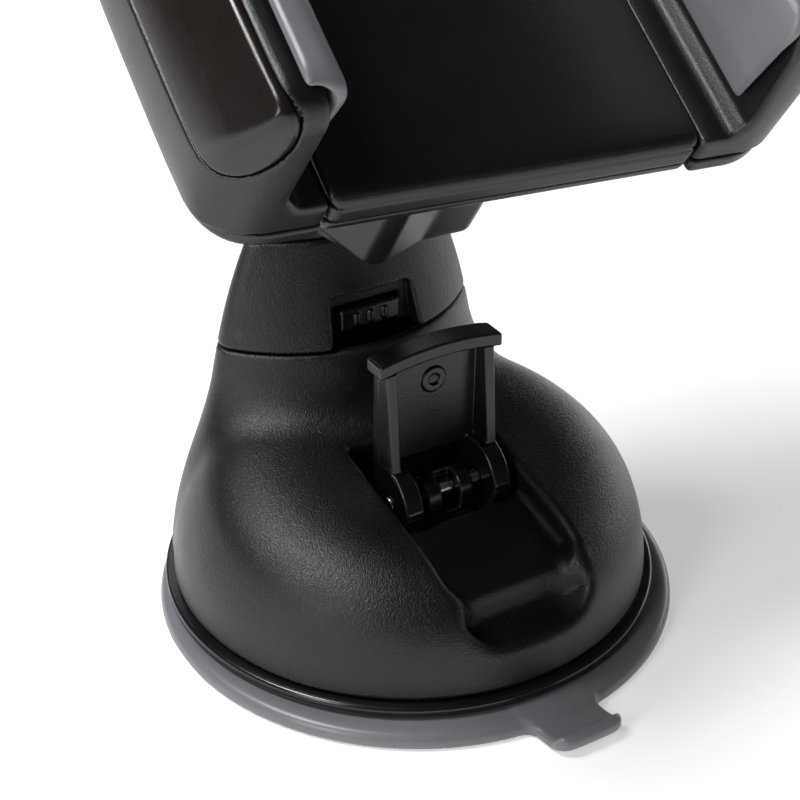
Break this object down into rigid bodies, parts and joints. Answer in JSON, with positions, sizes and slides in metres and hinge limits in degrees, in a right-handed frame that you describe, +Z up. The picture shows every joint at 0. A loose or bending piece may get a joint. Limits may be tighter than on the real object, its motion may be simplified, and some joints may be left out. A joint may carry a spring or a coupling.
{
  "type": "car phone mount",
  "caption": "Car phone mount: a gel suction base with a cam lever, a ball joint with a lock nut, and a leaning cradle whose sprung arms close on a phone.",
  "frame": {"origin": "centre of the gel pad's underside, which sticks to the dashboard", "axes": "+Z up out of the pad, -Y to the front, where the cam lever is, and +X to the right"},
  "size_m": [0.0914, 0.0867, 0.1314],
  "materials": {
    "black_plastic": "satin, fine texture",
    "gloss_inlay": "gloss",
    "black_rubber": "semi-gloss",
    "grey_gel": "semi-gloss",
    "pale_plastic": "satin",
    "steel": "polished"
  },
  "bodies": {
    "base": {"gel_pad": "grey_gel", "suction_cup": "black_rubber", "base_frame": "black_plastic", "base_cover": "black_plastic", "base_screw_1": "steel", "base_screw_2": "steel", "base_screw_3": "steel", "collar": "black_plastic", "neck_cap": "black_plastic", "stud_screw": "steel", "button_spring": "steel"},
    "stem": {"pull_stem": "black_plastic", "stem_pin": "steel"},
    "lever": {"lock_lever": "black_plastic"},
    "button": {"release_button": "black_plastic"},
    "swivel": {"ball_stud": "black_plastic"},
    "liner": {"socket_liner": "pale_plastic"},
    "cradle": {"cradle_front": "black_plastic", "cradle_back": "black_plastic", "cradle_screw_1": "steel", "cradle_screw_2": "steel", "cradle_screw_3": "steel", "cradle_screw_4": "steel", "pinion_screw": "steel", "right_arm_spring": "steel", "left_arm_spring": "steel"},
    "pinion": {"pinion": "pale_plastic"},
    "right_arm": {"right_arm": "black_plastic", "right_arm_cover": "black_plastic", "right_arm_screw": "steel", "right_pad": "grey_gel", "right_inlay": "gloss_inlay"},
    "left_arm": {"left_arm": "black_plastic", "left_arm_cover": "black_plastic", "left_arm_screw": "steel", "left_pad": "grey_gel", "left_inlay": "gloss_inlay"},
    "lock_nut": {"lock_nut": "black_plastic"}
  },
  "joints": [
    {"name": "stem_slide", "type": "slide", "parent": "base", "child": "stem", "axis": [0, 0, 1], "range_m": [0, 0.0015]},
    {"name": "lever_hinge", "type": "hinge", "parent": "stem", "child": "lever", "pos_m": [0, -0.0073, 0.0218], "axis": [1, 0, 0], "range_deg": [0, 104]},
    {"name": "button_slide", "type": "slide", "parent": "base", "child": "button", "axis": [0, 1, 0], "range_m": [0, 0.0015], "stiffness_N_per_m": 400, "springref_m": -0.002, "deforming": ["button_spring"]},
    {"name": "ball_swivel", "type": "hinge", "parent": "base", "child": "swivel", "pos_m": [0, 0.012, 0.07], "axis": [0, -0.4695, 0.8829], "continuous": true},
    {"name": "ball_tilt", "type": "hinge", "parent": "swivel", "child": "liner", "pos_m": [0, 0.012, 0.07], "axis": [1, 0, 0], "range_deg": [-25, 20]},
    {"name": "cradle_spin", "type": "hinge", "parent": "liner", "child": "cradle", "pos_m": [0, 0.012, 0.07], "axis": [0.0285, -0.5439, 0.8387], "continuous": true},
    {"name": "lock_nut_turn", "type": "hinge", "parent": "cradle", "child": "lock_nut", "pos_m": [0, 0.012, 0.07], "axis": [0.0285, -0.5439, 0.8387], "range_deg": [0, 270]},
    {"name": "right_arm_slide", "type": "slide", "parent": "cradle", "child": "right_arm", "axis": [0.9974, -0.0399, -0.0598], "range_m": [0, 0.014], "stiffness_N_per_m": 150, "springref_m": -0.02, "deforming": ["right_arm_spring", "left_arm_spring"]},
    {"name": "left_arm_slide", "type": "slide", "parent": "cradle", "child": "left_arm", "axis": [-0.9974, 0.0399, 0.0598], "range_m": [0, 0.014]},
    {"name": "pinion_spin", "type": "hinge", "parent": "cradle", "child": "pinion", "pos_m": [0.00109, 0.00167, 0.0951], "axis": [-0.0285, 0.5439, -0.8387], "range_deg": [0, 165]}
  ],
  "couplings": [
    {"joint": "lever_hinge", "follows": "stem_slide", "rad_per_m": 1210.1},
    {"joint": "left_arm_slide", "follows": "right_arm_slide", "ratio": 1},
    {"joint": "pinion_spin", "follows": "right_arm_slide", "rad_per_m": 200}
  ]
}
